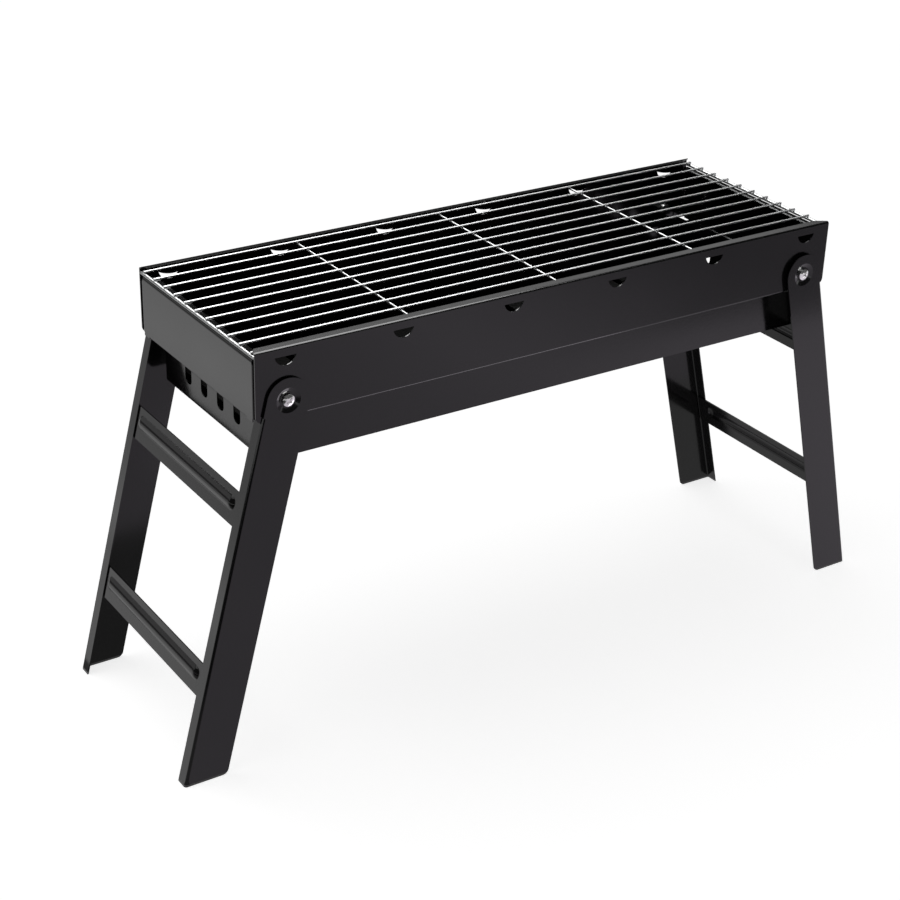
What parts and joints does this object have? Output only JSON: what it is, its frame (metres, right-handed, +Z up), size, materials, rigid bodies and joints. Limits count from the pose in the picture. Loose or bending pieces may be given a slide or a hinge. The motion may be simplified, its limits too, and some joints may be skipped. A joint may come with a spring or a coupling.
{
  "type": "folding camp grill",
  "caption": "Folding charcoal grill: a painted sheet-steel frame on two folding splayed leg frames, with a lifting charcoal trough, a charcoal grate and a wire cooking net that slides out under the rims.",
  "frame": {"origin": "centre of the bounding box on the floor under the feet", "axes": "+X along the grill's length to the right as seen from the front, the front faces -Y, +Z up"},
  "size_m": [0.7504, 0.2198, 0.3839],
  "materials": {
    "frame_paint": "gloss black",
    "leg_paint": "gloss black",
    "trough_paint": "gloss black",
    "grate_paint": "satin black",
    "fastener_zinc": "bright zinc",
    "net_chrome": "bright chrome"
  },
  "bodies": {
    "frame": {"front_panel": "frame_paint", "rear_panel": "frame_paint", "left_end_panel": "frame_paint", "right_end_panel": "frame_paint", "left_front_screw": "fastener_zinc", "left_rear_screw": "fastener_zinc", "right_front_screw": "fastener_zinc", "right_rear_screw": "fastener_zinc", "left_front_nut": "fastener_zinc", "left_rear_nut": "fastener_zinc", "right_front_nut": "fastener_zinc", "right_rear_nut": "fastener_zinc", "right_front_spacer": "fastener_zinc", "right_rear_spacer": "fastener_zinc"},
    "left_legs": {"left_front_leg": "leg_paint", "left_rear_leg": "leg_paint", "left_upper_plate": "leg_paint", "left_lower_plate": "leg_paint"},
    "right_legs": {"right_front_leg": "leg_paint", "right_rear_leg": "leg_paint", "right_upper_plate": "leg_paint", "right_lower_plate": "leg_paint"},
    "trough": {"trough_floor": "trough_paint", "trough_front": "trough_paint", "trough_rear": "trough_paint"},
    "grate": {"charcoal_grate": "grate_paint"},
    "net": {"net_long_wires": "net_chrome", "net_cross_wires": "net_chrome", "net_end_wires": "net_chrome"}
  },
  "joints": [
    {"name": "trough_lift", "type": "slide", "parent": "frame", "child": "trough", "axis": [0, 0, 1], "range_m": [0, 0.0466]},
    {"name": "left_leg_fold", "type": "hinge", "parent": "frame", "child": "left_legs", "pos_m": [-0.2716, 0, 0.33742], "axis": [0, -1, 0], "range_deg": [0, 103.9]},
    {"name": "right_leg_fold", "type": "hinge", "parent": "frame", "child": "right_legs", "pos_m": [0.2716, 0, 0.33742], "axis": [0, 1, 0], "range_deg": [0, 92]},
    {"name": "net_slide", "type": "slide", "parent": "frame", "child": "net", "axis": [1, 0, 0], "range_m": [0, 0.6]},
    {"name": "grate_lift", "type": "slide", "parent": "trough", "child": "grate", "axis": [0, 0, 1], "range_m": [0, 0.036]}
  ],
  "couplings": [
    {"joint": "left_leg_fold", "follows": "trough_lift", "rad_per_m": 38.914},
    {"joint": "right_leg_fold", "follows": "trough_lift", "rad_per_m": 34.457}
  ]
}
